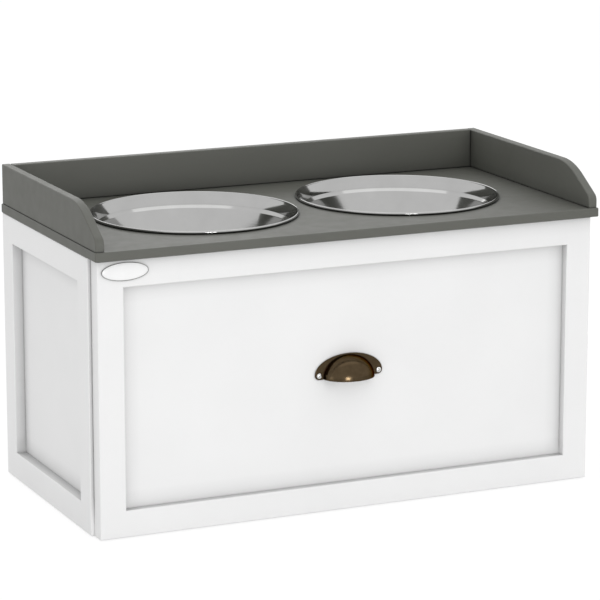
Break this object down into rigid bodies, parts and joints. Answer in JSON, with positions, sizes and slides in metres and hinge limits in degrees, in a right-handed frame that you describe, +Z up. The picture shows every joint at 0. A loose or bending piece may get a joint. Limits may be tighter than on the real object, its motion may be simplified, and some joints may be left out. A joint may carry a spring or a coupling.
{
  "type": "elevated pet feeder with storage drawer",
  "caption": "Raised feeding stand: steel bowls hung in a railed grey top over a white framed cabinet with a full-width drawer on roller runners and a cup pull.",
  "frame": {"origin": "on the floor, at the middle of the whole feeder's width and depth", "axes": "+X to the right seen from the front, +Y to the back, +Z up; the drawer front faces -Y"},
  "size_m": [0.6, 0.3046, 0.361],
  "materials": {
    "white_lacquer": "satin white lacquer on fibreboard",
    "white_board": "white melamine-faced board",
    "grey_lacquer": "satin grey lacquer on fibreboard",
    "bronze": "dark oil-rubbed bronze",
    "bowl_steel": "polished stainless",
    "white_epoxy": "white epoxy powder",
    "white_nylon": "matt",
    "zinc_steel": "zinc plated",
    "pad_rubber": "matt"
  },
  "bodies": {
    "cabinet": {"back_panel": "white_board", "floor_panel": "white_board", "foot_pads": "pad_rubber", "front_stretcher": "white_lacquer", "left_rail": "grey_lacquer", "left_runner_track": "white_epoxy", "left_side_bottom_rail": "white_lacquer", "left_side_front_stile": "white_lacquer", "left_side_panel": "white_lacquer", "left_side_rear_stile": "white_lacquer", "left_side_top_rail": "white_lacquer", "rear_rail": "grey_lacquer", "rear_stretcher": "white_lacquer", "right_rail": "grey_lacquer", "right_runner_track": "white_epoxy", "right_side_bottom_rail": "white_lacquer", "right_side_front_stile": "white_lacquer", "right_side_panel": "white_lacquer", "right_side_rear_stile": "white_lacquer", "right_side_top_rail": "white_lacquer", "top_panel": "grey_lacquer", "track_roller_axles": "zinc_steel", "track_screws": "zinc_steel"},
    "drawer": {"cup_pull": "bronze", "cup_pull_screws": "zinc_steel", "drawer_back": "white_board", "drawer_bottom": "white_board", "drawer_front_bottom_rail": "white_lacquer", "drawer_front_left_stile": "white_lacquer", "drawer_front_panel": "white_lacquer", "drawer_front_right_stile": "white_lacquer", "drawer_front_screws": "zinc_steel", "drawer_front_top_rail": "white_lacquer", "drawer_inner_front": "white_board", "left_drawer_side": "white_board", "left_runner_slider": "white_epoxy", "right_drawer_side": "white_board", "right_runner_slider": "white_epoxy", "slider_roller_axles": "zinc_steel", "slider_screws": "zinc_steel"},
    "left_track_roller": {"left_track_roller": "white_nylon"},
    "left_slider_roller": {"left_slider_roller": "white_nylon"},
    "left_bowl": {"left_bowl": "bowl_steel"},
    "right_track_roller": {"right_track_roller": "white_nylon"},
    "right_slider_roller": {"right_slider_roller": "white_nylon"},
    "right_bowl": {"right_bowl": "bowl_steel"}
  },
  "joints": [
    {"name": "drawer_slide", "type": "slide", "parent": "cabinet", "child": "drawer", "axis": [0, -1, 0], "range_m": [0, 0.19]},
    {"name": "left_track_roller_turn", "type": "hinge", "parent": "cabinet", "child": "left_track_roller", "pos_m": [-0.2791, -0.10525, 0.0328], "axis": [1, 0, 0], "continuous": true},
    {"name": "left_slider_roller_turn", "type": "hinge", "parent": "drawer", "child": "left_slider_roller", "pos_m": [-0.2764, 0.11975, 0.0305], "axis": [1, 0, 0], "continuous": true},
    {"name": "left_bowl_lift", "type": "slide", "parent": "cabinet", "child": "left_bowl", "axis": [0, 0, 1], "range_m": [0, 0.09]},
    {"name": "right_track_roller_turn", "type": "hinge", "parent": "cabinet", "child": "right_track_roller", "pos_m": [0.2791, -0.10525, 0.0328], "axis": [1, 0, 0], "continuous": true},
    {"name": "right_slider_roller_turn", "type": "hinge", "parent": "drawer", "child": "right_slider_roller", "pos_m": [0.2764, 0.11975, 0.0305], "axis": [1, 0, 0], "continuous": true},
    {"name": "right_bowl_lift", "type": "slide", "parent": "cabinet", "child": "right_bowl", "axis": [0, 0, 1], "range_m": [0, 0.09]}
  ],
  "couplings": [
    {"joint": "left_track_roller_turn", "follows": "drawer_slide", "rad_per_m": 95.238},
    {"joint": "left_slider_roller_turn", "follows": "drawer_slide", "rad_per_m": 95.238},
    {"joint": "right_track_roller_turn", "follows": "drawer_slide", "rad_per_m": 95.238},
    {"joint": "right_slider_roller_turn", "follows": "drawer_slide", "rad_per_m": 95.238}
  ]
}
